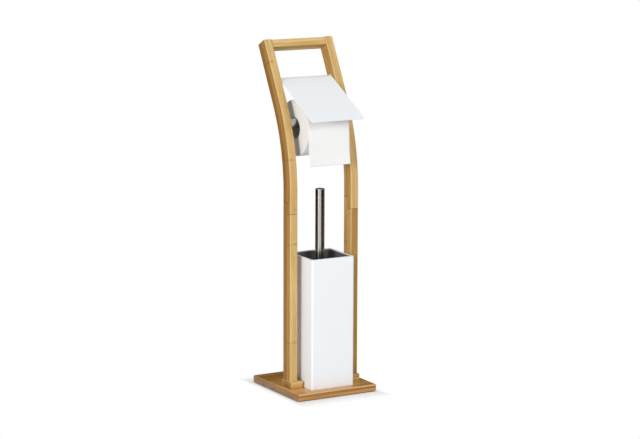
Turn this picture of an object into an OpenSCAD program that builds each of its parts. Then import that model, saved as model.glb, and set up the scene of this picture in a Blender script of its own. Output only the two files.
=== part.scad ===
/* [Base] */
// Width of the base plate, left to right
base_w = 200; // [190:1:260]
// Depth of the base plate, front to back
base_d = 208; // [190:1:260]
// Thickness of the base plate
base_t = 15; // [12:0.5:22]
// Corner radius of the base plate seen from above
base_corner_r = 4; // [3:0.5:15]
// Rounding of the base plate's top and bottom edges
base_edge_r = 2.5; // [1:0.5:3]
// Diameter of the four anti-slip pads
pad_d = 22; // [12:1:30]
// Thickness of the anti-slip pads
pad_t = 1.5; // [1:0.5:3]
// Distance from the plate's sides to the middle of a pad
pad_inset = 22; // [18:1:36]

/* [Frame] */
// Clear width between the two side posts
clear_w = 135; // [125:1:160]
// Width of a post and rail, seen from the front
post_w = 19; // [15:0.5:22]
// Depth of a post and rail, seen from the side
post_d = 31.5; // [28:0.5:38]
// Rounding along the edges of posts, rails and grip
post_edge_r = 2; // [1:0.5:5]
// How far the posts' front faces lie in front of the base plate's middle
post_front = 42; // [30:1:55]
// Height of the lap joint's front shoulder above the floor
lap_z = 405; // [380:1:430]
// Length of the lap joint
lap_len = 25; // [15:1:40]
// Part of the depth that the upper rail's front lobe takes in the lap
lap_front = 12.5; // [10:0.5:16]
// Straight length of the rails between the lap joint and their bend
rail_rise = 20; // [5:1:40]
// Radius of the rails' bend at their middle line
bend_r = 410; // [390:1:520]
// Angle by which the rails lean back above the bend
lean = 28; // [24:0.5:30]
// Straight length of the rails above the bend
rail_straight = 144; // [120:1:170]
// Thickness of the grip between the rails, along the rails
grip_h = 18; // [14:1:24]
// Depth of the grip, front to back
grip_d = 28; // [20:1:28]

/* [Foot blocks] */
// Height of a foot block
block_h = 14; // [10:1:20]
// How far a foot block stands out beside its post
block_out = 2; // [1:0.5:5]
// How far a foot block stands out in front of its post
block_front = 8; // [2:1:10]
// How far a foot block stands out behind its post
block_back = 4; // [2:1:12]
// Rounding of the foot blocks' corners and edges
block_edge_r = 2; // [1:0.5:3]
// Gap between a foot block and the brush holder that slides between them
guide_gap = 2.5; // [0.5:0.5:4]

/* [Fasteners] */
// Shank diameter of the post screws
screw_d = 5; // [4:0.5:6]
// Head diameter of the post screws
screw_head_d = 10; // [8:0.5:12]
// Head height of the post screws
screw_head_h = 3; // [2:0.5:4]
// Length of the post screws under the head
screw_len = 58; // [50:1:70]
// Distance between the two screws of a post
screw_gap = 14; // [12:1:16]
// Diameter of the dowels in the grip
dowel_d = 8; // [6:1:10]
// Length of the dowels in the grip
dowel_len = 30; // [24:1:34]
// Distance between the two dowels at one end of the grip
dowel_gap = 13; // [11:1:15]

/* [Cover] */
// Gap between the cover's sides and the rails
cover_gap = 1.3; // [1.1:0.1:3]
// Sheet thickness of the cover
cover_t = 1.5; // [1:0.1:2]
// Angle of the cover's flat part below the horizontal at rest
cover_drop = 28.5; // [24:0.5:31]
// Radius of the bend between the curl and the flat part, at the upper face
cover_bend_r = 22; // [18:1:60]
// Length of the cover's flat part
cover_flat = 160; // [120:1:170]
// Corner radius at the cover's front
cover_corner_r = 3; // [2:0.5:12]
// Depth of the hem folded under the cover's front edge
hem_d = 9; // [6:1:14]
// Diameter of the hinge rod
rod_d = 7; // [5:0.5:9]
// Distance from the top of the rails down to the hinge rod
hinge_down = 90; // [85:1:105]
// Distance of the hinge rod behind the rails' middle line
hinge_back = 4; // [0:0.5:6]
// Thickness of the washers beside the cover
washer_t = 1; // [0.5:0.1:1]
// Outer diameter of the washers
washer_d = 13; // [12:0.5:16]

/* [Paper roll] */
// Diameter of the paper roll
roll_d = 124; // [100:1:126]
// Width of the paper roll
roll_w = 102; // [90:1:110]
// Outer diameter of the cardboard core
core_d = 48; // [42:1:52]
// Wall of the cardboard core
core_wall = 1; // [0.5:0.1:2]
// Thickness of the hanging sheet
sheet_t = 0.5; // [0.4:0.1:1]
// Drop of the hanging sheet below the roll's middle
sheet_drop = 78; // [60:1:80]
// How far the sheet's lower edge curls forward
sheet_curl = 6; // [2:1:15]
// Angle by which the sheet still wraps the roll above its middle
sheet_wrap = 40; // [20:1:50]

/* [Spindle] */
// Height of the hinge rod above the spindle's axis
spindle_down = 89.3; // [88:0.1:95]
// Diameter of the spindle's outer tube
tube_d = 24; // [20:0.5:26]
// Wall of both spindle tubes
tube_wall = 1; // [0.8:0.1:1.5]
// Radial gap between the two spindle tubes
tube_gap = 0.1; // [0.05:0.05:0.1]
// Length of the outer tube
outer_len = 96; // [90:1:105]
// Length of the inner tube
inner_len = 84; // [70:1:92]
// Diameter of the pegs at the spindle's ends
peg_d = 9; // [7:0.5:11]
// Length of the pegs
peg_len = 7; // [5:0.5:8]
// Radial gap of a peg in its hole
peg_gap = 0.4; // [0.2:0.1:0.6]
// Thickness of the spindle's end caps
cap_t = 3; // [2:0.5:5]
// Turns of the spring in the spindle
spring_turns = 12; // [8:1:16]
// Wire diameter of the spring
spring_wire = 1.2; // [0.8:0.1:1.6]

/* [Brush holder] */
// Width and depth of the square brush holder
holder_w = 107; // [95:1:112]
// Height of the brush holder
holder_h = 291; // [250:1:300]
// Corner radius of the brush holder
holder_corner_r = 4; // [3:0.5:10]
// Sheet thickness of the brush holder
holder_t = 1.5; // [1:0.1:2.5]
// Width of the rim turned in at the top
rim_w = 5; // [4:0.5:12]
// Depth of the lip turned down inside the rim
lip_h = 6; // [4:0.5:10]
// Distance of the holder's middle in front of the base plate's middle
holder_front = 28; // [20:1:30]
// Gap between the lip and the dark liner
liner_gap = 1; // [1:0.5:3]
// Wall of the liner
liner_t = 1.6; // [1:0.1:3]
// How far the liner's rim lies below the holder's rim
liner_down = 1; // [0.5:0.5:6]

/* [Brush] */
// Diameter of the brush handle
handle_d = 20.5; // [15:0.5:22]
// Height of the handle's top above the holder's rim
handle_up = 146; // [120:1:160]
// How far the brush stands behind the holder's middle
brush_back = 6; // [0:0.5:8]
// Wall of the handle tube
handle_wall = 1; // [0.8:0.1:1.5]
// Height of the handle's end cap above the tube
handle_cap_h = 2; // [1:0.5:4]
// Diameter of the brush over its bristles
bristle_d = 70; // [56:1:74]
// Length of the brush head's core
core_len = 68; // [60:1:80]
// Diameter of the brush head's core
head_core_d = 16; // [14:1:18]
// Height of the collar between core and handle
collar_h = 16; // [12:1:24]
// Diameter of the collar's foot
collar_d = 26; // [24:1:30]
// Rows of bristles around the core
bristle_rows = 11; // [9:1:12]
// Bristle tufts in one row
bristle_per_row = 26; // [20:1:28]
// Width of one tuft
tuft_w = 1.3; // [0.8:0.1:1.6]

/* [Hidden] */
$fn = 64;
// Smallest overlap that joins two solids of one piece
eps = 0.01;
// How far a straight part is drawn in where it starts inside the bend before it
seam = 0.02;
// How far the cover's flat part starts inside its bend
tuck = 0.5;
// Clearance between parts that face each other across a joint
air = 0.3;
// Radial clearance of the cover's curl on its rod
rod_fit = 0.06;
// Radial clearance of a rod, dowel or screw in the wood that holds it
snug = 0.05;
// Radial clearance of a screw in the pieces it passes through
pass = 0.5;
// Depth of the blind holes in the rails for the hinge rod
rod_depth = 8;
// Thickness of the lip inside the holder's rim
lip_t = 1.2;
// Thickness of the backing that the bristles stand in
backing_t = 2;
// Depth of the screw heads inside the base plate's underside
head_recess = 1;
// Room at a dowel's or screw's end in its blind hole
end_play = 0.5;
// How far a dowel's middle lies inside the grip's end
dowel_shift = 2;
// Rounding of the paper roll's edges
roll_ease = 1.2;
// Length of the plugs and sockets that join caps and collars to tubes
plug_len = 8;
// Height of the spigot above the brush's collar
spigot_h = 14;
// Thickness of the disc between brush core and collar, and how far it stands out
disc_h = 3;
disc_out = 2;
// Height of the brush core's foot above its lowest bristles
core_raise = 11;
// Height of the lowest bristles above the brush's resting level
tip_raise = 0.5;
bamboo = "#CFA768";
bamboo_light = "#DDB97B";
white = "#EEF2F4";
steel = "#B9BBBD";

base_top = pad_t + base_t;
block_top = base_top + block_h;
screw_top = pad_t + head_recess + screw_head_h + screw_len;
post_x = clear_w/2 + post_w/2;
post_y = post_d/2 - post_front;
lap_top = lap_z + lap_len;
lap_y = lap_front - post_front;
bend_y = post_y + bend_r;
bend_z = lap_top + rail_rise;
// Where the rails' middle line leaves the bend and runs straight
knee_y = bend_y - bend_r*cos(lean);
knee_z = bend_z + bend_r*sin(lean);
hinge_t = rail_straight - hinge_down;
hinge_y = knee_y + hinge_t*sin(lean) + hinge_back*cos(lean);
hinge_z = knee_z + hinge_t*cos(lean) - hinge_back*sin(lean);
spindle_z = hinge_z - spindle_down;
spindle_y = bend_y - sqrt(pow(bend_r, 2) - pow(spindle_z - bend_z, 2));
core_in_r = core_d/2 - core_wall;
roll_z = spindle_z - core_in_r + tube_d/2 + air;
holder_y = -holder_front;
holder_top = base_top + holder_h;
rim_hole = holder_w - 2*rim_w;
liner_w = rim_hole - 2*liner_gap;
brush_y = holder_y + brush_back;
brush_foot = base_top + holder_t + liner_t + air;
bristle_floor = brush_foot + tip_raise;
handle_top = holder_top + handle_up;
core_foot = brush_foot + core_raise;
core_top = core_foot + core_len;

// Rounded rectangle with true arcs at its corners, centred
module round_rect(w, d, r) {
    square([w - 2*r, d], center = true);
    square([w, d - 2*r], center = true);
    for (sx = [-1, 1], sy = [-1, 1]) translate([sx*(w/2 - r), sy*(d/2 - r)]) circle(r);
}

// Slab with rounded corners and with its upper and lower edges eased
module eased_slab(w, d, h, corner_r, edge_r) {
    hull() for (sx = [-1, 1], sy = [-1, 1]) translate([sx*(w/2 - corner_r), sy*(d/2 - corner_r), 0])
        rotate_extrude($fn = 32) {
            square([corner_r - edge_r, h]);
            translate([0, edge_r]) square([corner_r, h - 2*edge_r]);
            for (z = [edge_r, h - edge_r]) translate([corner_r - edge_r, z]) intersection() {
                circle(edge_r, $fn = 24);
                translate([0, -edge_r]) square(2*edge_r);
            }
        }
}

// Cross-section of a post or rail, drawn in by inset: x across the stand, y through its depth
module post_section(inset = 0) {
    round_rect(post_w - 2*inset, post_d - 2*inset, post_edge_r - inset);
}

// Places children in the leaning frame: z runs up the rails from the end of their bend
module leaning() { translate([0, knee_y, knee_z]) rotate([-lean, 0, 0]) children(); }

// Cylinder along X from x0 to x1
module along_x(x0, x1, r) { translate([x0, 0, 0]) rotate([0, 90, 0]) cylinder(r = r, h = x1 - x0); }

module base_plate() {
    color(bamboo) difference() {
        translate([0, 0, pad_t]) eased_slab(base_w, base_d, base_t, base_corner_r, base_edge_r);
        at_screws() {
            cylinder(d = screw_head_d + 2*pass, h = pad_t + head_recess + screw_head_h);
            cylinder(d = screw_d + 2*pass, h = base_top + 1);
        }
    }
}

module anti_slip_pads() {
    color("#4A4A4A") for (sx = [-1, 1], sy = [-1, 1])
        translate([sx*(base_w/2 - pad_inset), sy*(base_d/2 - pad_inset), 0]) cylinder(d = pad_d, h = pad_t);
}

// Repeats children at the two screws under each post
module at_screws() {
    for (sx = [-1, 1], sy = [-1, 1]) translate([sx*post_x, post_y + sy*screw_gap/2, 0]) children();
}

module post_screws() {
    color(steel) at_screws() {
        translate([0, 0, pad_t + head_recess]) {
            cylinder(d = screw_head_d, h = screw_head_h);
            cylinder(d = screw_d, h = screw_head_h + screw_len);
        }
    }
}

// Foot block on the right: carries the post and guides the brush holder
module foot_block() {
    in_x = holder_w/2 + guide_gap;
    out_x = clear_w/2 + post_w + block_out;
    front_y = -post_front - block_front;
    back_y = post_d - post_front + block_back;
    color(bamboo) difference() {
        translate([(in_x + out_x)/2, (front_y + back_y)/2, base_top])
            eased_slab(out_x - in_x, back_y - front_y, block_h, 1.25*block_edge_r, block_edge_r);
        at_screws() cylinder(d = screw_d + 2*pass, h = block_top + 1);
    }
}
module right_foot_block() { foot_block(); }
module left_foot_block() { mirror([1, 0, 0]) foot_block(); }

// Straight lower post on the right, with the tongue of the lap joint behind
module post() {
    color(bamboo) difference() {
        translate([post_x, post_y, block_top]) linear_extrude(lap_top - block_top) post_section();
        translate([clear_w/2 - 1, -post_front - 1, lap_z]) cube([post_w + 2, lap_front + 1, lap_len + 1]);
        at_screws() cylinder(d = screw_d + 2*snug, h = screw_top + end_play);
    }
}
module right_post() { post(); }
module left_post() { mirror([1, 0, 0]) post(); }

// Bent upper rail on the right, with the lap joint's lobe in front
module rail() {
    color(bamboo) difference() {
        union() {
            translate([post_x, post_y, lap_z]) linear_extrude(lap_len + rail_rise) post_section();
            translate([post_x, bend_y, bend_z]) rotate([90, 0, -90]) rotate_extrude(angle = lean, $fn = 360)
                translate([bend_r, 0]) rotate(90) post_section();
            translate([post_x, 0, 0]) leaning() translate([0, 0, -1]) linear_extrude(rail_straight + 1)
                post_section(seam);
        }
        translate([clear_w/2 - 1, lap_y, lap_z - 1]) cube([post_w + 2, post_d + 2, lap_len + 1]);
        translate([0, hinge_y, hinge_z]) along_x(0, clear_w/2 + rod_depth, rod_d/2 + snug);
        translate([0, spindle_y, spindle_z]) along_x(0, clear_w/2 + peg_len + 1, peg_d/2 + peg_gap);
        at_dowels() along_x(0, clear_w/2 - dowel_shift + dowel_len/2, dowel_d/2 + snug);
    }
}
module right_rail() { rail(); }
module left_rail() { mirror([1, 0, 0]) rail(); }

// Repeats children at the two dowels in the plane of the grip
module at_dowels() {
    leaning() for (s = [-1, 1]) translate([0, s*dowel_gap/2, rail_straight - grip_h/2]) children();
}

module top_grip() {
    color(bamboo) difference() {
        leaning() translate([-clear_w/2, 0, rail_straight - grip_h/2]) rotate([90, 0, 90])
            linear_extrude(clear_w) round_rect(grip_d, grip_h, post_edge_r);
        at_dowels() for (s = [-1, 1]) translate([s*(clear_w/2 - dowel_shift), 0, 0])
            along_x(-dowel_len/2, dowel_len/2, dowel_d/2 + snug);
    }
}

module grip_dowels() {
    color(bamboo_light) at_dowels() for (s = [-1, 1])
        translate([s*(clear_w/2 - dowel_shift), 0, 0])
            along_x(-dowel_len/2 + end_play, dowel_len/2 - end_play, dowel_d/2);
}

module hinge_rod() {
    reach = clear_w/2 + rod_depth - end_play;
    color(steel) translate([0, hinge_y, hinge_z]) along_x(-reach, reach, rod_d/2);
}

module hinge_washers() {
    color(white) translate([0, hinge_y, hinge_z]) for (s = [0, 1]) mirror([s, 0, 0]) difference() {
        along_x(clear_w/2 - washer_t, clear_w/2, washer_d/2);
        along_x(clear_w/2 - washer_t - 1, clear_w/2 + 1, rod_d/2 + snug);
    }
}

// Side profile of the curl and bend: x to the back, y up, from the hinge axis
module cover_profile() {
    curl_in = rod_d/2 + rod_fit;
    curl_out = curl_in + cover_t;
    wedge = 4*curl_out;
    wide = 4*cover_bend_r;
    difference() {
        circle(curl_out);
        circle(curl_in);
        polygon([[0, 0], [0, wedge], [-wedge, wedge], [-wedge, -0.7*wedge]]);
    }
    translate([0, curl_out - cover_bend_r]) difference() {
        circle(cover_bend_r);
        circle(cover_bend_r - cover_t);
        translate([0, -wide/2]) square(wide);
        rotate(cover_drop) translate([-wide, -wide/2]) square(wide);
    }
}

module cover() {
    cover_w = clear_w - 2*cover_gap;
    curl_out = rod_d/2 + rod_fit + cover_t;
    color(white) translate([0, hinge_y, hinge_z]) {
        translate([-cover_w/2, 0, 0]) rotate([90, 0, 90]) linear_extrude(cover_w) cover_profile();
        translate([0, 0, curl_out - cover_bend_r]) rotate([cover_drop, 0, 0]) translate([0, 0, cover_bend_r])
            cover_flat_part(cover_w - 2*seam);
    }
}

// Flat part of the cover with its hem: runs to -Y below z = 0
module cover_flat_part(w) {
    translate([0, 0, seam - cover_t]) linear_extrude(cover_t - 2*seam) {
        translate([0, (tuck - cover_flat)/2]) round_rect(w, cover_flat + tuck, cover_corner_r);
        translate([-w/2, -2*cover_corner_r]) square([w, 2*cover_corner_r + tuck]);
    }
    translate([-w/2 + cover_corner_r, -cover_flat + cover_t, -2*cover_t])
        cube([w - 2*cover_corner_r, hem_d, cover_t + 2*seam]);
    translate([0, -cover_flat + cover_t, -cover_t])
        along_x(-w/2 + cover_corner_r, w/2 - cover_corner_r, cover_t);
}

module spindle_outer_tube() {
    color(steel) translate([-clear_w/2 + air, spindle_y, spindle_z]) difference() {
        along_x(cap_t, outer_len, tube_d/2);
        along_x(cap_t - 1, outer_len + 1, tube_d/2 - tube_wall);
    }
}

// End cap with its peg and the plug that holds it in the tube, facing -X
module spindle_cap(tube_r) {
    along_x(0, cap_t, tube_r);
    along_x(cap_t - eps, cap_t + plug_len, tube_r - tube_wall - snug);
    along_x(-peg_len, eps, peg_d/2);
}

module spindle_left_cap() {
    color("#D5D7D8") translate([-clear_w/2 + air, spindle_y, spindle_z]) spindle_cap(tube_d/2);
}

module spindle_inner_tube() {
    r = tube_d/2 - tube_wall - tube_gap;
    inner_floor = 2;
    color("#C9CBCD") translate([clear_w/2 - air, spindle_y, spindle_z]) difference() {
        along_x(-inner_len, -cap_t, r);
        along_x(-inner_len + inner_floor, -cap_t + 1, r - tube_wall);
    }
}

module spindle_right_cap() {
    color("#D5D7D8") translate([clear_w/2 - air, spindle_y, spindle_z]) mirror([1, 0, 0])
        spindle_cap(tube_d/2 - tube_wall - tube_gap);
}

// Ring of points around the helix at step i
function spring_ring(i, steps, len, r) = let (a = 360*spring_turns*i/steps, x = len*i/steps)
    [for (k = [0:5]) let (u = spring_wire/2*cos(60*k), v = spring_wire/2*sin(60*k))
        [x + v, (r + u)*cos(a), (r + u)*sin(a)]];

module spindle_spring() {
    r = tube_d/2 - tube_gap - 2*tube_wall - spring_wire;
    end_gap = spring_wire/2 + snug;
    x0 = -clear_w/2 + air + cap_t + plug_len + end_gap;
    x1 = clear_w/2 - air - inner_len - end_gap;
    steps = 12*spring_turns;
    rings = [for (i = [0:steps]) each spring_ring(i, steps, x1 - x0, r)];
    sides = [for (i = [0:steps-1], k = [0:5]) let (a = 6*i + k, b = 6*i + (k+1)%6)
        each [[a, b, a + 6], [b, b + 6, a + 6]]];
    ends = [for (k = [1:4]) each [[0, k + 1, k], [6*steps, 6*steps + k, 6*steps + k + 1]]];
    color(steel) translate([x0, spindle_y, spindle_z]) polyhedron(rings, concat(sides, ends));
}

module paper_core() {
    color("#B79B78") translate([0, spindle_y, roll_z]) difference() {
        along_x(-roll_w/2, roll_w/2, core_d/2);
        along_x(-roll_w/2 - 1, roll_w/2 + 1, core_in_r);
    }
}

module paper_roll() {
    depth = (roll_d - core_d)/2;
    color("#F2F2F0") translate([-roll_w/2, spindle_y, roll_z]) rotate([0, 90, 0]) rotate_extrude($fn = 128)
        translate([core_d/2, 0]) {
            square([depth - roll_ease, roll_w]);
            translate([0, roll_ease]) square([depth, roll_w - 2*roll_ease]);
            for (z = [roll_ease, roll_w - roll_ease]) translate([depth - roll_ease, z]) circle(roll_ease);
        }
}

// Side profile of the sheet: wraps the roll's front, then hangs and curls forward
module sheet_profile() {
    r = roll_d/2 + air;
    curl_r = pow(sheet_drop, 2)/(2*sheet_curl);
    difference() {
        circle(r + sheet_t, $fn = 128);
        circle(r, $fn = 128);
        translate([0, -2*r]) square(4*r);
        translate([-2*r, -4*r]) square([4*r, 4*r]);
        rotate(-sheet_wrap) translate([-4*r, 0]) square([8*r, 4*r]);
    }
    steps = 12;
    outer = [for (i = [0:steps]) let (z = -sheet_drop*i/steps)
        [-r - sheet_t - curl_r + sqrt(pow(curl_r, 2) - pow(z, 2)), z]];
    inner = [for (p = outer) [p[0] + sheet_t, p[1]]];
    polygon(concat([[-r - sheet_t, 0.2]], outer, [for (i = [steps:-1:0]) inner[i]], [[-r, 0.2]]));
}

module paper_sheet() {
    color("#F7F7F5") translate([-roll_w/2, spindle_y, roll_z]) rotate([90, 0, 90]) linear_extrude(roll_w)
        sheet_profile();
}

module holder_shell() {
    inner_r = holder_corner_r - holder_t;
    cavity_w = holder_w - 2*holder_t;
    lip_w = rim_hole + 2*lip_t;
    color(white) translate([0, holder_y, base_top]) difference() {
        linear_extrude(holder_h) round_rect(holder_w, holder_w, holder_corner_r);
        translate([0, 0, holder_t]) linear_extrude(holder_h - lip_h - holder_t)
            round_rect(cavity_w, cavity_w, inner_r);
        translate([0, 0, holder_h - lip_h - eps]) linear_extrude(lip_h - holder_t + eps) difference() {
            round_rect(cavity_w, cavity_w, inner_r);
            round_rect(lip_w, lip_w, inner_r + lip_t);
        }
        translate([0, 0, holder_h/2]) linear_extrude(holder_h) round_rect(rim_hole, rim_hole, inner_r);
    }
}

module holder_liner() {
    h = holder_h - holder_t - liner_down;
    corner = holder_corner_r;
    color("#3A3638") translate([0, holder_y, base_top + holder_t]) difference() {
        linear_extrude(h) round_rect(liner_w, liner_w, corner);
        translate([0, 0, liner_t]) linear_extrude(h) round_rect(liner_w - 2*liner_t, liner_w - 2*liner_t,
            corner - liner_t);
    }
}

module brush_handle() {
    foot = core_top + collar_h - plug_len;
    color(steel) translate([0, brush_y, 0]) difference() {
        translate([0, 0, foot]) cylinder(d = handle_d, h = handle_top - handle_cap_h - foot);
        translate([0, 0, foot - 1]) cylinder(d = handle_d - 2*handle_wall, h = handle_top);
    }
}

// Domed cap with its plug in the tube
module brush_end_cap() {
    r = handle_d/2;
    color("#6E6E70") translate([0, brush_y, handle_top - handle_cap_h]) rotate_extrude() {
        translate([0, -plug_len]) square([r - handle_wall - snug, plug_len + eps]);
        square([r, handle_cap_h/2]);
        square([r - handle_cap_h/2, handle_cap_h]);
        translate([r - handle_cap_h/2, handle_cap_h/2]) circle(handle_cap_h/2);
    }
}

// Collar between the core and the handle, with the spigot that the tube sits on
module brush_collar() {
    r = handle_d/2;
    color("#3E3E40") translate([0, brush_y, core_top]) difference() {
        union() {
            rotate_extrude() polygon([[0, 0], [collar_d/2 - 1, 0], [collar_d/2, 1], [collar_d/2, 3],
                [r + 1.5, collar_h - 1], [r + 0.8, collar_h], [0, collar_h]]);
            cylinder(r = r - handle_wall - snug, h = collar_h + spigot_h);
        }
        translate([0, 0, collar_h - plug_len]) difference() {
            cylinder(r = r + snug, h = plug_len + 1);
            translate([0, 0, -1]) cylinder(r = r - handle_wall - snug, h = plug_len + 3);
        }
    }
}

// Core of the brush head below the bristles' backing
module brush_core() {
    color("#3E3E40") translate([0, brush_y, 0]) {
        translate([0, 0, core_top - disc_h]) cylinder(r = head_core_d/2 + disc_out, h = disc_h);
        translate([0, 0, core_foot + backing_t])
            cylinder(r = head_core_d/2 - backing_t - snug, h = core_len - disc_h - backing_t + eps);
    }
}

// Corners of a three-sided tuft at place a around the core: root and tip are radius and height,
// and the triangle stands upright on a level tuft and lies flat on one that points down
function tuft(root, tip, a, down) = let (w = tuft_w/sqrt(3))
    [for (e = [root, tip], k = [0:2]) let (u = -w*sin(120*k), v = w*cos(120*k), r = e[0] + (down ? v : 0))
        [r*cos(a) - u*sin(a), r*sin(a) + u*cos(a), e[1] + (down ? 0 : v)]];

// Faces of the tuft whose first corner has number n
function tuft_faces(n) = [[n, n + 1, n + 2], [n + 5, n + 4, n + 3],
    for (k = [0:2]) let (a = n + k, b = n + (k + 1)%3) each [[a, a + 3, b], [b, a + 3, b + 3]]];

module brush_bristles() {
    r = head_core_d/2;
    // The rows start and end this far from the ends of the backing, and their tips lie a little higher
    row_inset = 4.5;
    tip_rise = 1.5;
    row_gap = (core_len - disc_h - 2*row_inset)/(bristle_rows - 1);
    sides = [for (i = [0:bristle_rows-1], j = [0:bristle_per_row-1])
        let (z = core_foot + row_inset + i*row_gap, a = 360*(j + (i%2)/2)/bristle_per_row)
        tuft([r - backing_t/2, z], [bristle_d/2, z + tip_rise], a, false)];
    // Rings of tufts under the core: root radius, root height, tip radius and count
    rings = [[0.35*r, 1, 0.9*r, 10], [0.65*r, 1, 1.5*r, 20], [0.8*r, 3, 3.1*r, 24]];
    feet = [for (ring = rings, j = [0:ring[3]-1])
        tuft([ring[0], core_foot + ring[1]], [ring[2], bristle_floor], 360*j/ring[3], true)];
    tufts = concat(sides, feet);
    color("#F4F5F5") translate([0, brush_y, 0]) {
        difference() {
            translate([0, 0, core_foot]) cylinder(r = r, h = core_len - disc_h);
            translate([0, 0, core_foot + backing_t]) cylinder(r = r - backing_t, h = core_len);
        }
        polyhedron([for (s = tufts) each s], [for (n = [0:len(tufts)-1]) each tuft_faces(6*n)]);
    }
}

base_plate();
anti_slip_pads();
left_foot_block();
right_foot_block();
left_post();
right_post();
left_rail();
right_rail();
top_grip();
grip_dowels();
post_screws();
hinge_rod();
hinge_washers();
cover();
spindle_outer_tube();
spindle_left_cap();
spindle_inner_tube();
spindle_right_cap();
spindle_spring();
paper_core();
paper_roll();
paper_sheet();
holder_shell();
holder_liner();
brush_handle();
brush_end_cap();
brush_collar();
brush_core();
brush_bristles();
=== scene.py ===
import math
import random

import bmesh
import bpy
from mathutils import Matrix, Vector


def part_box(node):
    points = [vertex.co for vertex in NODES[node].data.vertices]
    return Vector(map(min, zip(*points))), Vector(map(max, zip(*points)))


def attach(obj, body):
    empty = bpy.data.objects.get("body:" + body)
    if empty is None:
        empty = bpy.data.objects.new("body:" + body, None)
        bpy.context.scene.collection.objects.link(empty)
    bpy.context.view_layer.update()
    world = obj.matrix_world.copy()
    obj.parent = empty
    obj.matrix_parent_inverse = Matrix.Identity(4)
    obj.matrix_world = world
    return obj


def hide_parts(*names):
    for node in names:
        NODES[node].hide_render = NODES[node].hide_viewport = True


bl_info = {
    "name": "Toilet brush and paper stand",
    "version": (1, 0, 0),
    "blender": (4, 5, 0),
    "location": "3D View > Sidebar > Stand",
    "description": "Bamboo, enamel, steel, wound paper and bristles for a bathroom stand",
    "category": "Object",
}

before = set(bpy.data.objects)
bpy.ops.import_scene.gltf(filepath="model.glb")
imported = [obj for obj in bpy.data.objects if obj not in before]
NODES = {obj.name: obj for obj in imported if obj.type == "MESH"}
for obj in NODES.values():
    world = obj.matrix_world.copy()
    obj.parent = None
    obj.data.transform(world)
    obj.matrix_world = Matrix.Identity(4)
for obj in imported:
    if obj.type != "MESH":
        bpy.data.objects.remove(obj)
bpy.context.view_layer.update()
MM = 0.001


def colour(hex_value):
    """The linear colour of an sRGB hex value."""
    parts = [int(hex_value[i:i + 2], 16) / 255 for i in (1, 3, 5)]
    return [c / 12.92 if c <= 0.04045 else ((c + 0.055) / 1.055) ** 2.4 for c in parts] + [1.0]


def hex_prop(name, description, hex_value):
    """A colour property whose default is the linear colour of a hex value."""
    return bpy.props.FloatVectorProperty(
        name=name, description=description, subtype="COLOR", size=4, min=0.0, max=1.0,
        default=colour(hex_value))


class StandSizes(bpy.types.PropertyGroup):
    """Sizes of the pieces that are modelled here."""
    ring_step: bpy.props.FloatProperty(
        name="Winding step", description="Distance between two layers that show on the roll's ends",
        default=0.95 * MM, unit="LENGTH")
    ring_relief: bpy.props.FloatProperty(
        name="Winding relief", description="How far layers stand in or out on the roll's ends",
        default=0.22 * MM, unit="LENGTH")
    sheet_thickness: bpy.props.FloatProperty(
        name="Sheet thickness", description="Thickness of the hanging sheet",
        default=0.35 * MM, unit="LENGTH")
    filament: bpy.props.FloatProperty(
        name="Bristle thickness", description="Diameter of one bristle",
        default=0.42 * MM, unit="LENGTH")
    per_tuft: bpy.props.IntProperty(
        name="Bristles per tuft", description="Bristles that stand in one hole of the brush head",
        default=9)


class StandColours(bpy.types.PropertyGroup):
    """Colours of the pieces."""
    bamboo_dark: hex_prop("Dark bamboo", "Darkest strips of posts, rails and grip", "#7E4E1F")
    bamboo_mid: hex_prop("Bamboo", "Most strips of posts, rails and grip", "#B68D4B")
    # Also the colour of the painted highlight on the rounded edges of all the wood
    bamboo_light_and_highlight: hex_prop("Light bamboo", "Lightest strips of posts, rails and grip", "#DFC289")
    plate_dark: hex_prop("Dark plate", "Darkest strips of the base plate", "#7A4A1C")
    plate_mid: hex_prop("Plate", "Most strips of the base plate", "#A6722C")
    plate_light: hex_prop("Light plate", "Lightest strips of the base plate", "#D8A35F")
    enamel: hex_prop("Enamel", "Powder-coated cover and brush holder", "#EFF2F5")
    paper: hex_prop("Paper", "Tissue of the roll and the sheet", "#EBEBE9")
    card: hex_prop("Card", "Cardboard core of the roll", "#CDCCC6")
    steel: hex_prop("Steel", "Brushed steel of handle and spindle", "#BEBCB8")
    liner: hex_prop("Liner", "Dark plastic liner of the holder", "#625D60")
    bristle: hex_prop("Bristles", "Nylon bristles", "#F2F4F4")


def add(tree, kind, inputs=None, **settings):
    """Adds a shader node with its settings; an input takes a value or the output that feeds it."""
    node = tree.nodes.new(kind)
    for key, value in settings.items():
        setattr(node, key, value)
    for key, value in (inputs or {}).items():
        if isinstance(value, bpy.types.NodeSocket):
            tree.links.new(value, node.inputs[key])
        else:
            node.inputs[key].default_value = value
    return node


def calc(tree, operation, *values):
    """Output of a math node that works on up to three values."""
    return add(tree, "ShaderNodeMath", dict(enumerate(values)), operation=operation).outputs[0]


def calc_vector(tree, operation, *values):
    """Output of a vector math node that works on up to three values."""
    node = add(tree, "ShaderNodeVectorMath", dict(enumerate(values)), operation=operation)
    return node.outputs["Value" if operation in ("DOT_PRODUCT", "LENGTH") else "Vector"]


def xyz(tree, *parts):
    """A vector from two or three parts."""
    return add(tree, "ShaderNodeCombineXYZ", dict(enumerate(parts))).outputs[0]


def spread(tree, value, low, high, to_low=0.0, to_high=1.0, **settings):
    """A value held between low and high and spread over another range."""
    return add(tree, "ShaderNodeMapRange", {
        "Value": value, "From Min": low, "From Max": high, "To Min": to_low, "To Max": to_high},
        **settings).outputs[0]


def from_middle(tree, value):
    """How far a value lies from the middle of its whole step, from 0 to 0.5."""
    return calc(tree, "ABSOLUTE", calc(tree, "SUBTRACT", calc(tree, "FRACT", value), 0.5))


def mix(tree, share, first, second):
    """A mix of two colours."""
    return add(tree, "ShaderNodeMix", {0: share, 6: first, 7: second}, data_type="RGBA").outputs[2]


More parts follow.
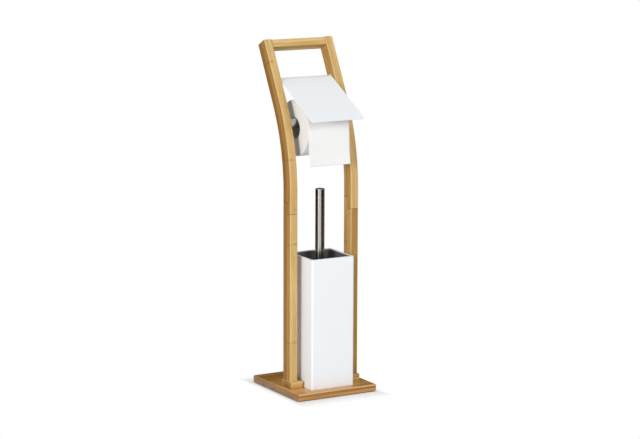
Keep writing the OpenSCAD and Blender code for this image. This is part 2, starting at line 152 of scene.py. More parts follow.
def noise(tree, inputs, **settings):
    """Value of a noise texture."""
    return add(tree, "ShaderNodeTexNoise", inputs, **settings).outputs[0]


def vary_roughness(tree, shader, value, low, high, smooth, rough):
    """Lets a noise value from low to high vary the roughness from smooth to rough."""
    tree.links.new(spread(tree, value, low, high, smooth, rough), shader.inputs["Roughness"])


def raise_bump(tree, shader, height, strength, depth):
    """Lets a height raise the surface."""
    bump = add(tree, "ShaderNodeBump", {"Strength": strength, "Distance": depth, "Height": height})
    tree.links.new(bump.outputs[0], shader.inputs["Normal"])


def material(name, shader_inputs):
    """A new material with a Principled shader; returns the material, its tree and the shader."""
    made = bpy.data.materials.new(name)
    made.use_nodes = True
    tree = made.node_tree
    tree.nodes.clear()
    shader = add(tree, "ShaderNodeBsdfPrincipled", shader_inputs)
    add(tree, "ShaderNodeOutputMaterial", {"Surface": shader.outputs[0]})
    return made, tree, shader


def dress(made, *names):
    """Gives CAD nodes their material."""
    for name in names:
        data = NODES[name].data
        data.materials.clear()
        data.materials.append(made)


def new_piece(name, bm, body, materials, stands_for=(), smooth=True):
    """Turns a bmesh into a piece that rides on a CAD body."""
    data = bpy.data.meshes.new(name)
    for face in bm.faces:
        face.smooth = smooth
    bm.to_mesh(data)
    bm.free()
    for made in materials:
        data.materials.append(made)
    piece = bpy.data.objects.new(name, data)
    bpy.context.scene.collection.objects.link(piece)
    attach(piece, body)
    if stands_for:
        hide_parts(*stands_for)
    return piece


# Where the rails leave the posts and begin to bend: height, and the bend's middle behind the posts
POST_LOW, POST_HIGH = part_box("left_post")
POST_SIZE = POST_HIGH - POST_LOW
BEND_Z = POST_HIGH.z + 20 * MM
BEND_R = 410 * MM
BEND_Y = (POST_LOW.y + POST_HIGH.y) / 2 + BEND_R
LEAN = math.radians(28)
# The lap joint: a tongue of the post behind, a lobe of the rail in front
LAP_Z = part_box("left_rail")[0].z
LAP_Y = POST_LOW.y + 12.5 * MM


# Dark brown of the glue between strips, and of the lines at the joints, which also paint the shade in their
# creases
GLUE_AND_CREASE_SHADE = "#54341A"
# Distance between the growth rings of the cane
RING_GAP = 0.22


def along_bend(tree, place, normal):
    """Where a point lies along a bent rail and across it, and how far its face looks along it."""
    back = calc(tree, "SUBTRACT", BEND_Y, place.outputs[1])
    up = calc(tree, "SUBTRACT", place.outputs[2], BEND_Z)
    turn = add(tree, "ShaderNodeClamp", {0: calc(tree, "ARCTAN2", up, back), 1: 0.0, 2: LEAN}).outputs[0]
    cos, sin = calc(tree, "COSINE", turn), calc(tree, "SINE", turn)
    out = xyz(tree, back, up)
    away = calc_vector(tree, "DOT_PRODUCT", out, xyz(tree, cos, sin))
    rest = calc_vector(tree, "DOT_PRODUCT", out, xyz(tree, calc(tree, "MULTIPLY", sin, -1.0), cos))
    along = calc(tree, "MULTIPLY_ADD", turn, BEND_R, rest)
    across = calc(tree, "SUBTRACT", BEND_R, away)
    return along, across, calc_vector(tree, "DOT_PRODUCT", normal, xyz(tree, 0.0, sin, cos))


def to_joint(tree, place, joint):
    """Distance to a glued joint: the lap's steps, or the grip's two ends."""
    if joint == "lap":
        low = calc(tree, "SUBTRACT", place.outputs[2], LAP_Z)
        front = calc(tree, "SUBTRACT", LAP_Y, place.outputs[1])
        high = calc(tree, "SUBTRACT", place.outputs[2], POST_HIGH.z)
        gap = calc(tree, "MAXIMUM", calc(tree, "MINIMUM", low, front), high)
    else:
        gap = calc(tree, "ADD", calc(tree, "ABSOLUTE", place.outputs[0]), POST_HIGH.x)
    return calc(tree, "ABSOLUTE", gap)


def bamboo(name, grain, size, strips, seed, tones, levels, middle, side_axis="X", bent=False, tilt=0.0,
           joint=None, edge_highlight=0.5, rough=(0.44, 0.6), specular=0.2):
    """Bamboo laminate, pressed from heat-treated strips, sanded and oiled.

    Strips differ in tone, fibres run lengthwise in streaks about 1 mm wide, a growth ring crosses
    each strip every 22 cm or so, and cut ends show the dots of the fibre bundles. The faces that
    lie across side_axis show the strips' edges, rounded edges get a painted highlight, drawn
    lighter where they would catch the light, and a thin dark line at each glued joint stands for
    the glue and for painted shade in the joint's crease. grain is the axis that the fibres
    follow; size and strips are the section's two sizes across it and the number of strips in
    them; tones are a dark, a middle and a light one, and the painted edge highlight's own if there
    is a fourth; levels say where between the first three faces and sides lie, partly painted
    light and shade; the edge highlight argument says how strong the painted highlight on edges
    is, and rough and specular how the oil or lacquer shines.
    """
    made, tree, shader = material(name, {"Roughness": 0.5, "IOR": 1.5, "Specular IOR Level": specular})
    coords = add(tree, "ShaderNodeTexCoord")
    spot, normal = coords.outputs["Object"], coords.outputs["Normal"]
    if tilt:
        spot = add(tree, "ShaderNodeVectorRotate", {"Vector": spot, "Center": middle, "Angle": tilt},
                   rotation_type="X_AXIS").outputs[0]
        normal = add(tree, "ShaderNodeVectorRotate", {"Vector": normal, "Angle": tilt},
                     rotation_type="X_AXIS").outputs[0]
    place = add(tree, "ShaderNodeSeparateXYZ", {0: spot})
    facing = add(tree, "ShaderNodeSeparateXYZ", {0: normal})
    if bent:
        along, across, end_on = along_bend(tree, place, normal)
        deep, centre = place.outputs[0], (0.0, middle[0])
    else:
        a, b, c = {"X": (0, 1, 2), "Z": (2, 1, 0)}[grain]
        along, across, deep = place.outputs[a], place.outputs[b], place.outputs[c]
        centre, end_on = (middle[b], middle[c]), facing.outputs[a]

    # The strip's number in both directions, the glue lines between strips, 0.3 mm wide, and random
    # values for each strip; strips are a little wide, so that no glue line falls on a face
    runs, seams = [], []
    for value, full, count, mid in zip((across, deep), size, strips, centre):
        width = (full + 2 * MM) / count
        runs.append(calc(tree, "MULTIPLY_ADD", value, 1 / width, (count % 2) / 2 - mid / width))
        seams.append(spread(tree, from_middle(tree, runs[-1]), 0.5 - 0.3 * MM / width, 0.5, 0.0, 0.45))
    seam = calc(tree, "MAXIMUM", *seams)
    cell = xyz(tree, calc(tree, "FLOOR", runs[0]), calc(tree, "FLOOR", runs[1]), seed)
    chance = add(tree, "ShaderNodeTexWhiteNoise", {"Vector": cell}, noise_dimensions="3D").outputs["Color"]
    pick = add(tree, "ShaderNodeSeparateColor", {0: chance}).outputs

    # Fibre streaks: 45 mm long and about 1 mm wide, over broader bands
    shift = calc_vector(tree, "MULTIPLY_ADD", chance, (3.0, 5.0, 7.0), xyz(tree, along, across, deep))
    streak = noise(tree, {
        "Vector": calc_vector(tree, "MULTIPLY", shift, (22.0, 900.0, 900.0)),
        "Scale": 1.0, "Detail": 4.0, "Roughness": 0.65})
    cloud = noise(tree, {
        "Vector": calc_vector(tree, "MULTIPLY", shift, (7.0, 150.0, 150.0)), "Scale": 1.0, "Detail": 2.0})

    # Growth rings of the cane, 4 mm wide, across some of the strips
    ring = from_middle(tree, calc(tree, "MULTIPLY_ADD", along, 1 / RING_GAP, pick[1]))
    ring = spread(tree, ring, 0.003, 0.018, 0.45, 0.0, interpolation_type="SMOOTHSTEP")
    ring = calc(tree, "MULTIPLY", ring, pick[2])

    # Tone: streaks, bands and the strip's own tone sway it about the level of the face or side
    shares = ((streak, 0.75), (cloud, 0.45), (pick[0], 0.5))
    half = sum(share for _, share in shares) / 2
    # Faces and sides take their own tone levels, which the pieces set partly as painted light and shade
    sideways = calc(tree, "ABSOLUTE", facing.outputs["XYZ".index(side_axis)])
    tone = spread(tree, sideways, 0.35, 0.8, levels[0] - half, levels[1] - half)
    for value, share in shares:
        tone = calc(tree, "MULTIPLY_ADD", value, share, tone)
    wood = add(tree, "ShaderNodeValToRGB", {0: tone})
    wood.color_ramp.elements[0].color = tones[0]
    wood.color_ramp.elements[1].color = tones[2]
    wood.color_ramp.elements.new(0.5).color = tones[1]
    wood = mix(tree, ring, wood.outputs[0], colour("#7D5226"))
    wood = mix(tree, seam, wood, colour("#6E471F"))

    # Painted highlight: rounded edges are drawn lighter where they would catch the light, on flat pieces the
    # upper ones only
    edge = facing.outputs[2] if side_axis == "Z" else sideways
    painted_edge_highlight = calc(tree, "MULTIPLY", spread(tree, edge, 0.05, 0.3), spread(tree, edge, 0.88, 0.99, edge_highlight, 0.0))
    wood = mix(tree, painted_edge_highlight, wood, tones[-1])

    # Cut ends: fibre bundles as dots 0.9 mm apart
    dots = add(tree, "ShaderNodeTexVoronoi", {"Vector": xyz(tree, across, deep), "Scale": 1100.0},
               voronoi_dimensions="2D")
    cut = mix(tree, spread(tree, pick[0], 0.0, 1.0, 0.2, 1.0), tones[0], tones[1])
    cut = mix(tree, spread(tree, dots.outputs["Distance"], 0.15, 0.5, 0.6, 0.05), cut, colour("#63401C"))
    cut = mix(tree, seam, cut, colour(GLUE_AND_CREASE_SHADE))
    wood = mix(tree, spread(tree, calc(tree, "ABSOLUTE", end_on), 0.6, 0.85), wood, cut)

    # Painted shade: a thin dark line at each joint, for the glue and for the shade in its crease
    if joint:
        line = spread(tree, to_joint(tree, place, joint), 0.4 * MM, 1.1 * MM, 0.7, 0.0)
        wood = mix(tree, line, wood, colour(GLUE_AND_CREASE_SHADE))
    tree.links.new(wood, shader.inputs["Base Color"])
    vary_roughness(tree, shader, streak, 0.3, 0.7, *rough)
    raise_bump(tree, shader, calc(tree, "MULTIPLY_ADD", seam, -1.5, streak), 0.35, 0.12 * MM)
    return made


def enamel(name, base):
    """Powder-coated sheet steel: a satin skin with a faint orange peel 1.8 mm across."""
    made, tree, shader = material(name, {"Base Color": base, "Roughness": 0.38, "IOR": 1.5})
    coords = add(tree, "ShaderNodeTexCoord")
    peel = noise(tree, {"Vector": coords.outputs["Object"], "Scale": 550.0, "Detail": 2.0})
    vary_roughness(tree, shader, peel, 0.3, 0.7, 0.34, 0.42)
    raise_bump(tree, shader, peel, 0.08, 0.05 * MM)
    return made


def brushed(name, base, roughness, lines, anisotropy=0.0):
    """Ground and polished stainless steel: hair lines 0.4 to 1.1 mm apart that catch the light."""
    made, tree, shader = material(name, {
        "Base Color": base, "Metallic": 1.0, "Roughness": roughness, "Anisotropic": anisotropy,
        "Anisotropic Rotation": 0.25})
    coords = add(tree, "ShaderNodeTexCoord")
    stretch = add(tree, "ShaderNodeMapping", {"Vector": coords.outputs["Object"], "Scale": lines})
    hair = noise(tree, {"Vector": stretch.outputs[0], "Scale": 1.0, "Detail": 3.0, "Roughness": 0.7})
    vary_roughness(tree, shader, hair, 0.25, 0.75, roughness * 0.75, roughness * 1.3)
    raise_bump(tree, shader, hair, 0.12, 0.02 * MM)
    return made


def moulded(name, base, roughness, grain):
    """Injection-moulded polypropylene with a fine spark-eroded grain."""
    made, tree, shader = material(name, {"Base Color": base, "Roughness": roughness, "IOR": 1.49})
    coords = add(tree, "ShaderNodeTexCoord")
    skin = noise(tree, {"Vector": coords.outputs["Object"], "Scale": grain, "Detail": 3.0})
    vary_roughness(tree, shader, skin, 0.3, 0.7, roughness * 0.85, min(1.0, roughness * 1.15))
    raise_bump(tree, shader, skin, 0.15, 0.05 * MM)
    return made


def tissue(name):
    """Two-ply toilet tissue: crepe wrinkles 0.5 mm apart across it, and soft embossed dots 5 mm apart."""
    look = bpy.context.scene.stand_colours
    made, tree, shader = material(name, {
        "Base Color": look.paper, "Roughness": 0.95, "IOR": 1.3,
        "Sheen Weight": 0.1, "Sheen Roughness": 0.6})
    coords = add(tree, "ShaderNodeTexCoord")
    crepe_at = add(tree, "ShaderNodeMapping", {
        "Vector": coords.outputs["UV"], "Scale": (160.0, 2000.0, 1.0)})
    crepe = noise(tree, {"Vector": crepe_at.outputs[0], "Scale": 1.0, "Detail": 3.0})
    dots_at = add(tree, "ShaderNodeMapping", {
        "Vector": coords.outputs["UV"], "Scale": (200.0, 200.0, 1.0), "Rotation": (0, 0, math.pi / 4)})
    dots = add(tree, "ShaderNodeTexVoronoi", {
        "Vector": dots_at.outputs[0], "Scale": 1.0, "Randomness": 0.0}, voronoi_dimensions="2D")
    dot = spread(tree, dots.outputs["Distance"], 0.12, 0.42, interpolation_type="SMOOTHSTEP")
    raise_bump(tree, shader, calc(tree, "MULTIPLY_ADD", crepe, 0.5, dot), 0.3, 0.15 * MM)
    return made


def wound_ends(name, middle):
    """Cut ends of the tissue roll: its layers as rings of tone about 1.1 mm apart, so that they show."""
    made, tree, shader = material(name, {"Roughness": 0.97, "IOR": 1.3})
    coords = add(tree, "ShaderNodeTexCoord")
    centred = add(tree, "ShaderNodeMapping", {
        "Vector": coords.outputs["Object"], "Location": (0.0, -middle.y, -middle.z)})
    radius = calc_vector(tree, "LENGTH", calc_vector(tree, "MULTIPLY", centred.outputs[0], (0.0, 1.0, 1.0)))
    wobble = noise(tree, {"Vector": coords.outputs["Object"], "Scale": 60.0, "Detail": 1.0})
    spiral = calc(tree, "MULTIPLY_ADD", wobble, 1.2 * MM, radius)
    layers = noise(tree, {"W": spiral, "Scale": 900.0, "Detail": 2.0}, noise_dimensions="1D")
    tint = mix(tree, spread(tree, layers, 0.35, 0.6), colour("#E2DFDA"), colour("#F4F4F2"))
    tree.links.new(tint, shader.inputs["Base Color"])
    raise_bump(tree, shader, layers, 0.4, 0.3 * MM)
    return made


class STAND_OT_woodwork(bpy.types.Operator):
    """Laminated bamboo for the base plate, foot blocks, posts, rails, grip and dowels"""
    bl_idname = "stand.woodwork"
    bl_label = "Woodwork"

    def execute(self, context):
        look = context.scene.stand_colours
        wood = (look.bamboo_dark, look.bamboo_mid, look.bamboo_light_and_highlight)
        plate = (look.plate_dark, look.plate_mid, look.plate_light, look.bamboo_light_and_highlight)
        centre = {name: (sum(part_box(name), Vector())) / 2 for name in (
            "base_plate", "left_foot_block", "right_foot_block", "left_post", "right_post", "top_grip")}
        post = (POST_SIZE.y, POST_SIZE.x)
        # The plate's top is set lighter than its edges as painted light from above, and its upper rounded
        # edges get a strong painted highlight
        dress(bamboo("bamboo_plate", "X", (208 * MM, 15 * MM), (10, 2), 3.2, plate, (0.47, 0.78),
                     centre["base_plate"], "Z", edge_highlight=0.75, rough=(0.16, 0.26), specular=0.5), "base_plate")
        # Levels are the posts' own tones and partly painted shade: sides are darker than faces, and the right
        # post's faces are darker both as a darker piece and as painted shade from the holder
        for side, faces, sides, seed in (("left", 0.69, 0.33, 1519.0), ("right", 0.43, 0.6, 3713.0)):
            block, low = side + "_foot_block", side + "_post"
            dress(bamboo("bamboo_" + block, "X", (43.5 * MM, 14 * MM), (3, 2), seed + 5.6, wood, (0.6, 0.5),
                         centre[block], "Z"), block)
            dress(bamboo("bamboo_" + low, "Z", post, (2, 2), seed, wood, (faces, sides), centre[low],
                         joint="lap"), low)
        # The rails' sides are set darker than their faces, partly as painted shade
        for side, faces, sides, seed in (("left", 0.66, 0.27, 1718.0), ("right", 0.7, 0.48, 1168.0)):
            dress(bamboo("bamboo_%s_rail" % side, "Z", post, (2, 2), seed, wood, (faces, sides),
                         centre[side + "_post"], bent=True, joint="lap"), side + "_rail")
        dress(bamboo("bamboo_grip", "X", (28 * MM, 18 * MM), (2, 2), 11.0, wood, (0.85, 0.65),
                     centre["top_grip"], "Z", tilt=LEAN, joint="ends"), "top_grip")
        dress(bamboo("dowel_bamboo", "X", (30 * MM, 30 * MM), (1, 1), 13.0, wood, (0.6, 0.6), (0, 0, 0)),
              "grip_dowels")
        return {"FINISHED"}


class STAND_OT_hardware(bpy.types.Operator):
    """Pads, screws, hinge rod, washers and the sprung spindle"""
    bl_idname = "stand.hardware"
    bl_label = "Hardware"

    def execute(self, context):
        look = context.scene.stand_colours
        dress(moulded("pad_rubber", colour("#3A3A3A"), 0.8, 900.0), "anti_slip_pads")
        dress(brushed("zinc_plated_steel", colour("#B9BBBD"), 0.3, (900, 900, 900)),
              "post_screws", "spindle_spring", "hinge_rod")
        dress(moulded("washer_nylon", colour("#F1F2F2"), 0.45, 900.0), "hinge_washers")
        dress(brushed("spindle_steel", look.steel, 0.24, (60, 2500, 2500)),
              "spindle_outer_tube", "spindle_inner_tube")
        dress(moulded("cap_plastic", colour("#D5D7D8"), 0.3, 1200.0), "spindle_left_cap", "spindle_right_cap")
        return {"FINISHED"}


class STAND_OT_enamelled(bpy.types.Operator):
    """Powder coat for the cover and the brush holder, and the holder's dark liner"""
    bl_idname = "stand.enamelled"
    bl_label = "Cover and holder"

    def execute(self, context):
        look = context.scene.stand_colours
        dress(enamel("cover_powder_coat", look.enamel), "cover")
        dress(enamel("holder_powder_coat", look.enamel), "holder_shell")
        dress(moulded("liner_polypropylene", look.liner, 0.5, 700.0), "holder_liner")
        return {"FINISHED"}


class STAND_OT_paper_roll(bpy.types.Operator):
    """The wound roll, with its layers on both ends, and its cardboard core"""
    bl_idname = "stand.paper_roll"
    bl_label = "Paper roll"

    def execute(self, context):
        sizes = context.scene.stand_sizes
        look = context.scene.stand_colours
        low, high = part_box("paper_roll")
        core_low, core_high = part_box("paper_core")
        middle = (low + high) / 2
        radius, width = (high.z - low.z) / 2, high.x - low.x
        hole = (core_high.z - core_low.z) / 2
        ease = 1.1 * MM
        chance = random.Random(4)
        bm = bmesh.new()
        bmesh.ops.create_circle(bm, cap_ends=True, cap_tris=False, segments=160, radius=radius)
        top = bmesh.ops.extrude_face_region(bm, geom=bm.faces[:])
        moved = [v for v in top["geom"] if isinstance(v, bmesh.types.BMVert)]
        bmesh.ops.translate(bm, verts=moved, vec=(0, 0, width))
        caps = [f for f in bm.faces if len(f.verts) > 4]
        rims = list({e for f in caps for e in f.edges})
        bmesh.ops.recalc_face_normals(bm, faces=bm.faces[:])
        bmesh.ops.bevel(bm, geom=rims, offset=ease, offset_type="OFFSET", segments=3,
                        profile=0.5, affect="EDGES", material=-1)
        # The layers lie between the eased edge and the core, 0.1 mm clear of it
        room = radius - ease - hole - 0.1 * MM
        rings = int(room / sizes.ring_step)
        step = room / rings
        ends = []
        for cap in [f for f in bm.faces if len(f.verts) > 4]:
            face, last = cap, 0.0
            for _ in range(rings):
                level = chance.uniform(-1, 0) * sizes.ring_relief
                done = bmesh.ops.inset_individual(bm, faces=[face], thickness=step, depth=level - last)
                last = level
                ends += done["faces"]
            bmesh.ops.delete(bm, geom=[face], context="FACES_ONLY")
        for face in bm.faces:
            face.material_index = 0
        for face in ends:
            if face.is_valid:
                face.material_index = 1
        loops = [e for e in bm.edges if e.is_boundary]
        wall = bmesh.ops.bridge_loops(bm, edges=loops)
        for face in wall["faces"]:
            face.material_index = 1
        bmesh.ops.rotate(bm, verts=bm.verts[:], cent=(0, 0, 0),
                         matrix=Matrix.Rotation(math.pi / 2, 3, "Y"))
        bmesh.ops.translate(bm, verts=bm.verts[:], vec=(low.x, middle.y, middle.z))
        bmesh.ops.recalc_face_normals(bm, faces=bm.faces[:])
        around = bm.loops.layers.uv.new("paper")
        for face in bm.faces:
            mid = face.calc_center_median() - middle
            base = math.atan2(mid.z, mid.y)
            for loop in face.loops:
                off = loop.vert.co - middle
                turn = math.atan2(off.z, off.y)
                turn += math.tau * round((base - turn) / math.tau)
                loop[around].uv = (off.x, turn * radius)
        new_piece("wound_roll", bm, "roll", [tissue("tissue_outside"), wound_ends("tissue_layers", middle)],
                  ["paper_roll"])
        dress(moulded("core_grey_board", look.card, 0.85, 500.0), "paper_core")
        return {"FINISHED"}


class STAND_OT_sheet(bpy.types.Operator):
    """The last sheet of the roll, wrapped round its front and hanging below it"""
    bl_idname = "stand.sheet"
    bl_label = "Hanging sheet"

    def execute(self, context):
        sizes = context.scene.stand_sizes
        low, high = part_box("paper_sheet")
        roll_low, roll_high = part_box("paper_roll")
        middle = (roll_low + roll_high) / 2
        clear = 0.35 * MM
        radius = (roll_high.z - roll_low.z) / 2 + clear
        wrap = math.asin(min(1.0, (high.z - middle.z) / radius))
        drop = middle.z - low.z
        curl = (middle.y - radius) - low.y
        arc = radius * wrap
        width, length = high.x - low.x, arc + drop
        bow_depth, corner_depth = 0.9 * MM, 1.6 * MM
        bm = bmesh.new()
        bmesh.ops.create_grid(bm, x_segments=68, y_segments=48, size=0.5)
        flat_uv = bm.loops.layers.uv.new("paper")
        for face in bm.faces:
            for loop in face.loops:
                spot = loop.vert.co
                loop[flat_uv].uv = (spot.x * width, (spot.y + 0.5) * length)
        for vert in bm.verts:
            across, down = vert.co.x, vert.co.y + 0.5
            run = down * length
            x = middle.x + across * width
            if run < arc:
                turn = wrap - run / radius
                vert.co = (x, middle.y - radius * math.cos(turn), middle.z + radius * math.sin(turn))
            else:
                hang = (run - arc) / drop
                # Slack paper bows a little and its corners curl forward
                bow = bow_depth * hang * math.sin(math.pi * (across + 0.5) * 1.15)
                corner = corner_depth * hang ** 4 * (2 * abs(across)) ** 5
                vert.co = (x, middle.y - radius - curl * hang ** 2 * 0.82 + bow - corner * 0.4,
                           middle.z - (run - arc))
        tip = min(v.co.z for v in bm.verts)
        # Teeth that the perforation leaves, 3 mm apart and 0.5 mm high
        torn = sorted((v for v in bm.verts if v.co.z < tip + 0.2 * MM), key=lambda v: v.co.x)
        for vert in torn[1::2]:
            vert.co.z += 0.5 * MM
        piece = new_piece("hanging_sheet", bm, "stand", [tissue("tissue_sheet")],
                          ["paper_sheet"])
        thick = piece.modifiers.new("Thickness", "SOLIDIFY")
        thick.thickness = sizes.sheet_thickness
        thick.offset = 0.0
        return {"FINISHED"}


class STAND_OT_brush(bpy.types.Operator):
    """Steel handle, collar and core of the brush, and its nylon bristles one by one"""
    bl_idname = "stand.brush"
    bl_label = "Brush"

    def execute(self, context):
        sizes = context.scene.stand_sizes
        look = context.scene.stand_colours
        dress(brushed("handle_steel", look.steel, 0.18, (2200, 2200, 30), 0.6), "brush_handle")
        dress(brushed("end_cap_steel", look.steel, 0.25, (1500, 1500, 1500)), "brush_end_cap")
        dress(moulded("head_polypropylene", colour("#3E3E40"), 0.45, 800.0), "brush_collar", "brush_core")
        low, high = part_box("brush_bristles")
        core_low, core_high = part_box("brush_core")
        middle = (low + high) / 2
        reach = (high.x - low.x) / 2
        # The bristles' backing: its radius, and its ends 2 mm below the core and under the disc on it
        hub, backing, disc = 8.0 * MM, 2.0 * MM, 3.0 * MM
        foot, top = core_low.z - backing, core_high.z - disc
        chance = random.Random(11)
        bm = bmesh.new()
        bmesh.ops.create_cone(bm, cap_ends=True, segments=40, radius1=hub, radius2=hub, depth=top - foot,
                              matrix=Matrix.Translation((middle.x, middle.y, (top + foot) / 2)))
        rims = [e for e in bm.edges if len(e.link_faces) == 2 and e.calc_face_angle(0) > 1.0]
        bmesh.ops.bevel(bm, geom=rims, offset=0.8 * MM, offset_type="OFFSET", segments=2, profile=0.5,
                        affect="EDGES", material=-1)

        # Tufts of bristles that start close together and spread towards their tips, one unit long
        tufts = []
        for number in range(6):
            small = bmesh.new()
            for _ in range(sizes.per_tuft):
                start = Vector((chance.uniform(-0.6, 0.6) * MM, chance.uniform(-0.6, 0.6) * MM, 0))
                end = Vector((chance.uniform(-1.7, 1.7) * MM, chance.uniform(-1.7, 1.7) * MM,
                              1 - chance.uniform(0, 0.03)))
                way = end - start
                bmesh.ops.create_cone(
                    small, cap_ends=True, segments=3, radius1=sizes.filament / 2,
                    radius2=sizes.filament * 0.4, depth=way.length,
                    matrix=Matrix.Translation((start + end) / 2) @
                    way.to_track_quat("Z", "Y").to_matrix().to_4x4())
            tufts.append(bpy.data.meshes.new("tuft_%d" % number))
            small.to_mesh(tufts[-1])
            small.free()

        def plant(root, tip):
            """Sets one tuft into the head, from its root to its tip."""
            way = tip - root
            pattern = chance.choice(tufts).copy()
            pattern.transform(Matrix.Translation(root) @ way.to_track_quat("Z", "Y").to_matrix().to_4x4() @
                              Matrix.Rotation(chance.uniform(0, math.tau), 4, "Z") @
                              Matrix.Diagonal((1, 1, way.length, 1)))
            bm.from_mesh(pattern)
            bpy.data.meshes.remove(pattern)

        rows, per_row, inset = 11, 26, 4.5 * MM
        for row in range(rows):
            height = foot + inset + row * (top - foot - 2 * inset) / (rows - 1)
            for k in range(per_row):
                turn = math.tau * (k + (row % 2) / 2) / per_row
                out = Vector((math.cos(turn), math.sin(turn), 0))
                centre = Vector((middle.x, middle.y, height))
                plant(centre + out * (hub - 1.0 * MM),
                      centre + out * (reach - 1.8 * MM) + Vector((0, 0, 1.5 * MM)))
        # Rings of tufts under the core: share of the hub at root and tip, and count
        for at_root, at_tip, count in ((0.35, 0.9, 10), (0.6, 1.5, 20), (0.8, 2.9, 24)):
            for k in range(count):
                turn = math.tau * k / count
                out = Vector((math.cos(turn), math.sin(turn), 0))
                plant(Vector((middle.x, middle.y, foot + 1.2 * MM)) + out * hub * at_root,
                      Vector((middle.x, middle.y, low.z + 2.0 * MM)) + out * hub * at_tip)
        nylon = moulded("bristle_nylon", look.bristle, 0.5, 1500.0)
        new_piece("bristles", bm, "brush", [nylon], ["brush_bristles"], smooth=False)
        return {"FINISHED"}


def stage_piece(name, bm, made, glossy_only=False):
    """A piece of the studio around the object."""
    data = bpy.data.meshes.new(name)
    bm.to_mesh(data)
    bm.free()
    data.materials.append(made)
    piece = bpy.data.objects.new(name, data)
    bpy.context.scene.collection.objects.link(piece)
    if glossy_only:
        piece.visible_camera = piece.visible_diffuse = piece.visible_shadow = False
        piece.visible_transmission = piece.visible_volume_scatter = False


def seen_directly(tree):
    """1 for rays from the camera, mirrors and clear pieces, 0 for those that light the object."""
    rays = add(tree, "ShaderNodeLightPath").outputs
    seen = rays["Is Camera Ray"]
    for ray in ("Is Glossy Ray", "Is Transmission Ray"):
        seen = calc(tree, "MAXIMUM", seen, rays[ray])
    return seen


def lay_floor():
    """Pale, matt floor, which camera and mirrors see as white, except for a painted shadow near the stand."""
    made, tree, shader = material("floor_paper", {"Base Color": colour("#DCDCDC"), "Roughness": 0.9})
    # Painted shadow: distance from the plate's edges, counted higher at its sides, where the painted shadow
    # is narrower
    narrower = 3.5
    coords = add(tree, "ShaderNodeTexCoord")
    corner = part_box("base_plate")[1]
    beyond = calc_vector(tree, "SUBTRACT", calc_vector(tree, "ABSOLUTE", coords.outputs["Object"]),
                         (corner.x, corner.y, 0))
    beyond = add(tree, "ShaderNodeSeparateXYZ", {0: beyond}).outputs
    away = calc(tree, "MAXIMUM", calc(tree, "MULTIPLY", beyond[0], narrower), beyond[1])
    # Painted shadow: the share of white, low near the plate's edges and full 58 mm away
    painted_shadow_ramp = add(tree, "ShaderNodeValToRGB", {0: spread(tree, away, -2 * MM, 58 * MM)})
    ramp = painted_shadow_ramp.color_ramp.elements
    ramp[0].position, ramp[0].color = 0.02, (0, 0, 0, 1)
    ramp[1].position, ramp[1].color = 1.0, (1, 1, 1, 1)
    for position, level in ((0.035, 0.4), (0.2, 0.52), (0.4, 0.64), (0.6, 0.82), (0.78, 0.95)):
        ramp.new(position).color = (level, level, level, 1)
    white = calc(tree, "MULTIPLY", painted_shadow_ramp.outputs[0], seen_directly(tree))
    glow = add(tree, "ShaderNodeEmission", {"Color": (1, 1, 1, 1), "Strength": 1.0})
    both = add(tree, "ShaderNodeMixShader", {0: white, 1: shader.outputs[0], 2: glow.outputs[0]})
    out = next(n for n in tree.nodes if n.type == "OUTPUT_MATERIAL")
    tree.links.new(both.outputs[0], out.inputs["Surface"])
    bm = bmesh.new()
    bmesh.ops.create_grid(bm, x_segments=1, y_segments=1, size=6.0)
    stage_piece("studio_floor", bm, made)


def hang_flags():
    """Dark cards round the sides and back, and one high in front, seen only in polished metal."""
    made = material("flag_cloth", {"Base Color": colour("#161310"), "Roughness": 1.0})[0]
    # The round flag leaves a gap of 93 degrees towards the camera
    reach = height = 1.1
    begin, arc = math.radians(267), math.radians(267)
    bm = bmesh.new()
    start = Matrix.Rotation(begin, 3, "Z") @ Vector((reach, 0, 0))
    low, high = bm.verts.new(start), bm.verts.new(start + Vector((0, 0, height)))
    bmesh.ops.spin(bm, geom=[low, high, bm.edges.new((low, high))], cent=(0, 0, 0), axis=(0, 0, 1),
                   angle=arc, steps=48)
    stage_piece("round_flag", bm, made, glossy_only=True)
    tilt = math.radians(30)
    bm = bmesh.new()
    bmesh.ops.create_grid(bm, x_segments=1, y_segments=1, size=0.75)
    bmesh.ops.rotate(bm, verts=bm.verts[:], cent=(0, 0, 0),
                     matrix=Matrix.Rotation(-tilt, 3, "Z") @ Matrix.Rotation(tilt, 3, "X"))
    bmesh.ops.translate(bm, verts=bm.verts[:], vec=(-0.25, -0.43, 1.35))
    stage_piece("high_flag", bm, made, glossy_only=True)


def light_studio(scene):
    """White surroundings that light the object only dimly, and three softboxes aimed at its middle."""
    world = bpy.data.worlds.new("studio")
    scene.world = world
    world.use_nodes = True
    tree = world.node_tree
    tree.nodes.clear()
    level = spread(tree, seen_directly(tree), 0.0, 1.0, 0.35, 1.0)
    sky = add(tree, "ShaderNodeBackground", {"Color": (1, 1, 1, 1), "Strength": level})
    add(tree, "ShaderNodeOutputWorld", {"Surface": sky.outputs[0]})
    target = Vector((0, 0, 0.4))
    for name, spot, size, power in (
            ("front_softbox", (0.45, -3.0, 1.9), 1.4, 41.0),
            ("left_softbox", (-2.7, -1.35, 1.0), 0.9, 53.0),
            ("top_softbox", (0.0, -0.6, 3.0), 1.6, 10.0)):
        lamp = bpy.data.lights.new(name, "AREA")
        lamp.shape = "SQUARE"
        lamp.size = size
        lamp.energy = power
        light = bpy.data.objects.new(name, lamp)
        light.matrix_world = Matrix.Translation(spot) @ (
            (target - Vector(spot)).to_track_quat("-Z", "Y").to_matrix().to_4x4())
        scene.collection.objects.link(light)


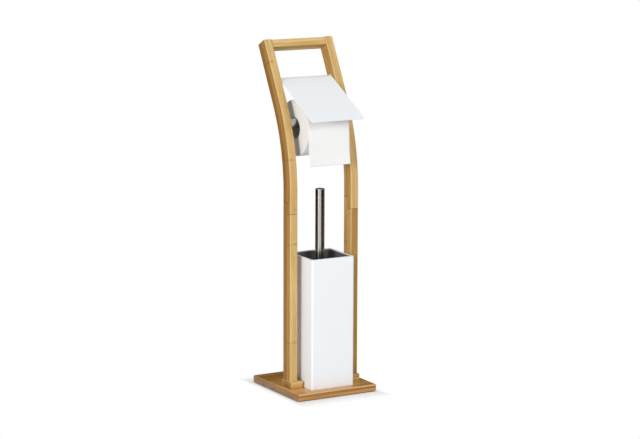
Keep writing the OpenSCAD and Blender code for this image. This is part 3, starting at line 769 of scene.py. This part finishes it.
def place_camera(scene):
    """The camera as it was fitted to the photograph, with its slight roll."""
    lens = bpy.data.cameras.new("camera")
    lens.sensor_width = 36.0
    lens.lens = 131.66
    camera = bpy.data.objects.new("camera", lens)
    spot = Vector((-2.5461, -4.4127, 1.2991))
    way = Vector((0.4937, 0.8513, -0.1774))
    roll = Matrix.Rotation(math.radians(0.21), 3, "Z")
    camera.matrix_world = Matrix.Translation(spot) @ (
        way.to_track_quat("-Z", "Y").to_matrix() @ roll).to_4x4()
    scene.collection.objects.link(camera)
    scene.camera = camera
    scene.view_settings.view_transform = "Standard"


class STAND_OT_stage(bpy.types.Operator):
    """Pale floor, soft studio light, two dark flags that edge the steel, and the camera"""
    bl_idname = "stand.stage"
    bl_label = "Stage"

    def execute(self, context):
        lay_floor()
        hang_flags()
        light_studio(context.scene)
        place_camera(context.scene)
        return {"FINISHED"}


class STAND_PT_panel(bpy.types.Panel):
    """Lists the steps that dress the stand"""
    bl_label = "Toilet brush and paper stand"
    bl_idname = "STAND_PT_panel"
    bl_space_type = "VIEW_3D"
    bl_region_type = "UI"
    bl_category = "Stand"

    def draw(self, context):
        column = self.layout.column()
        for group in (context.scene.stand_sizes, context.scene.stand_colours):
            for name in group.__annotations__:
                column.prop(group, name)
        for step in STEPS:
            column.operator(step.bl_idname)


STEPS = (STAND_OT_woodwork, STAND_OT_hardware, STAND_OT_enamelled, STAND_OT_paper_roll, STAND_OT_sheet,
         STAND_OT_brush, STAND_OT_stage)
CLASSES = (StandSizes, StandColours, *STEPS, STAND_PT_panel)


def register():
    for cls in CLASSES:
        bpy.utils.register_class(cls)
    bpy.types.Scene.stand_sizes = bpy.props.PointerProperty(type=StandSizes)
    bpy.types.Scene.stand_colours = bpy.props.PointerProperty(type=StandColours)


def unregister():
    del bpy.types.Scene.stand_colours
    del bpy.types.Scene.stand_sizes
    for cls in reversed(CLASSES):
        bpy.utils.unregister_class(cls)


def main():
    register()
    bpy.ops.stand.woodwork()
    bpy.ops.stand.hardware()
    bpy.ops.stand.enamelled()
    bpy.ops.stand.paper_roll()
    bpy.ops.stand.sheet()
    bpy.ops.stand.brush()
    bpy.ops.stand.stage()


if __name__ == "__main__":
    main()
